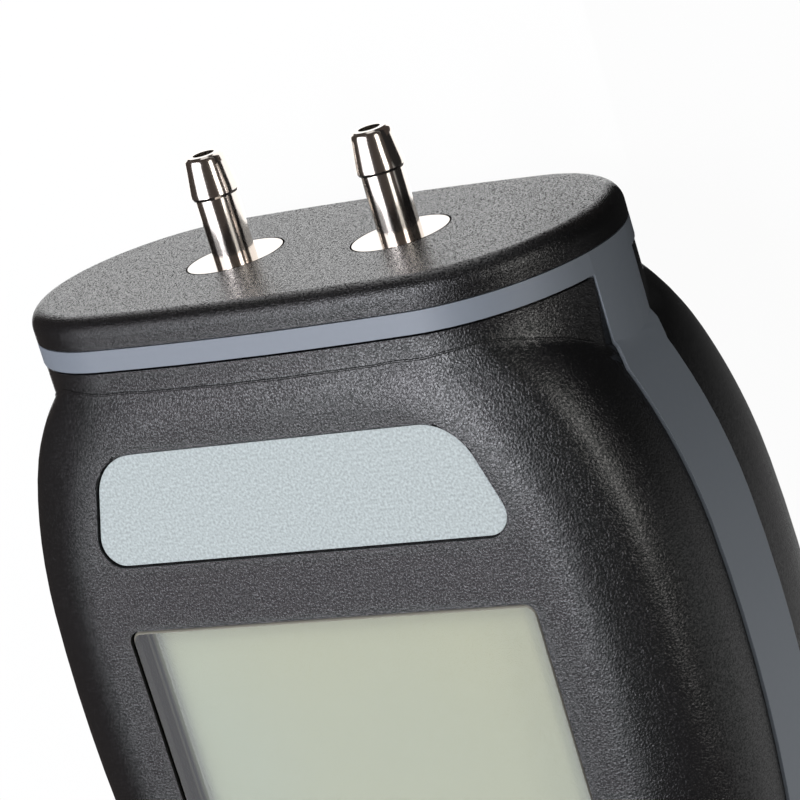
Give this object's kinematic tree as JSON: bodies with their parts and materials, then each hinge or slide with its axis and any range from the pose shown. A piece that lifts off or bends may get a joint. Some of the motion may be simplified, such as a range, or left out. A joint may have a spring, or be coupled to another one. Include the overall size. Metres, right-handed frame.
{
  "type": "differential pressure meter",
  "caption": "Hand-held differential pressure meter with a waisted black case, grey side band, barbed hose ports on its end cap, display window and keys.",
  "frame": {"origin": "middle of the whole outline in plan, on the plane of the back face that the meter lies on", "axes": "+X across the meter to the right as its front is read, +Y along it towards the hose ports, +Z out of its front face"},
  "size_m": [0.0774, 0.1762, 0.0392],
  "materials": {
    "case_plastic": "moulded with a fine leather grain",
    "grey_plastic": "smooth moulded",
    "port_nickel": "bright nickel plate on turned brass",
    "label_film": "silver-grey printed film",
    "window_clear": "clear moulded plastic",
    "panel_glass": "liquid crystal panel, switched off",
    "frame_plastic": "moulded",
    "light_guide": "clear-edged light guide with a white back",
    "strip_rubber": "layered rubber",
    "board_green": "solder mask over glass-fibre board",
    "chip_black": "moulded epoxy",
    "buzzer_black": "moulded",
    "screw_steel": "zinc-plated",
    "hose_silicone": "translucent silicone",
    "seal_rubber": "moulded",
    "nut_brass": "turned",
    "sensor_plastic": "moulded",
    "key_rubber": "moulded, satin",
    "mat_rubber": "silicone",
    "battery_metal": "plain printed jacket",
    "contact_metal": "nickel-plated"
  },
  "bodies": {
    "meter": {"front_case": "case_plastic", "back_case": "case_plastic", "top_cap": "case_plastic", "battery_door": "case_plastic", "side_frame": "grey_plastic", "low_port": "port_nickel", "high_port": "port_nickel", "label_plate": "label_film", "display_window": "window_clear", "display_panel": "panel_glass", "display_frame": "frame_plastic", "backlight": "light_guide", "contact_strips": "strip_rubber", "main_board": "board_green", "main_chip": "chip_black", "buzzer": "buzzer_black", "board_screws": "screw_steel", "case_screws": "screw_steel", "door_screw": "screw_steel", "low_hose": "hose_silicone", "high_hose": "hose_silicone", "port_seals": "seal_rubber", "port_nuts": "nut_brass", "pressure_sensor": "sensor_plastic", "key_mat": "mat_rubber", "battery": "battery_metal", "battery_contacts": "contact_metal"},
    "hold_button": {"hold_key": "key_rubber"},
    "light_button": {"light_key": "key_rubber"},
    "units_button": {"units_key": "key_rubber"},
    "zero_button": {"zero_key": "key_rubber"},
    "record_button": {"record_key": "key_rubber"},
    "range_button": {"range_key": "key_rubber"},
    "power_button": {"power_key": "key_rubber"}
  },
  "joints": [
    {"name": "hold_press", "type": "slide", "parent": "meter", "child": "hold_button", "axis": [0, 0, -1], "range_m": [0, 0.0008], "stiffness_N_per_m": 1500},
    {"name": "light_press", "type": "slide", "parent": "meter", "child": "light_button", "axis": [0, 0, -1], "range_m": [0, 0.0008], "stiffness_N_per_m": 1500},
    {"name": "units_press", "type": "slide", "parent": "meter", "child": "units_button", "axis": [0, 0, -1], "range_m": [0, 0.0008], "stiffness_N_per_m": 1500},
    {"name": "zero_press", "type": "slide", "parent": "meter", "child": "zero_button", "axis": [0, 0, -1], "range_m": [0, 0.0008], "stiffness_N_per_m": 1500},
    {"name": "record_press", "type": "slide", "parent": "meter", "child": "record_button", "axis": [0, 0, -1], "range_m": [0, 0.0008], "stiffness_N_per_m": 1500},
    {"name": "range_press", "type": "slide", "parent": "meter", "child": "range_button", "axis": [0, 0, -1], "range_m": [0, 0.0008], "stiffness_N_per_m": 1500},
    {"name": "power_press", "type": "slide", "parent": "meter", "child": "power_button", "axis": [0, 0, -1], "range_m": [0, 0.0008], "stiffness_N_per_m": 1500}
  ]
}
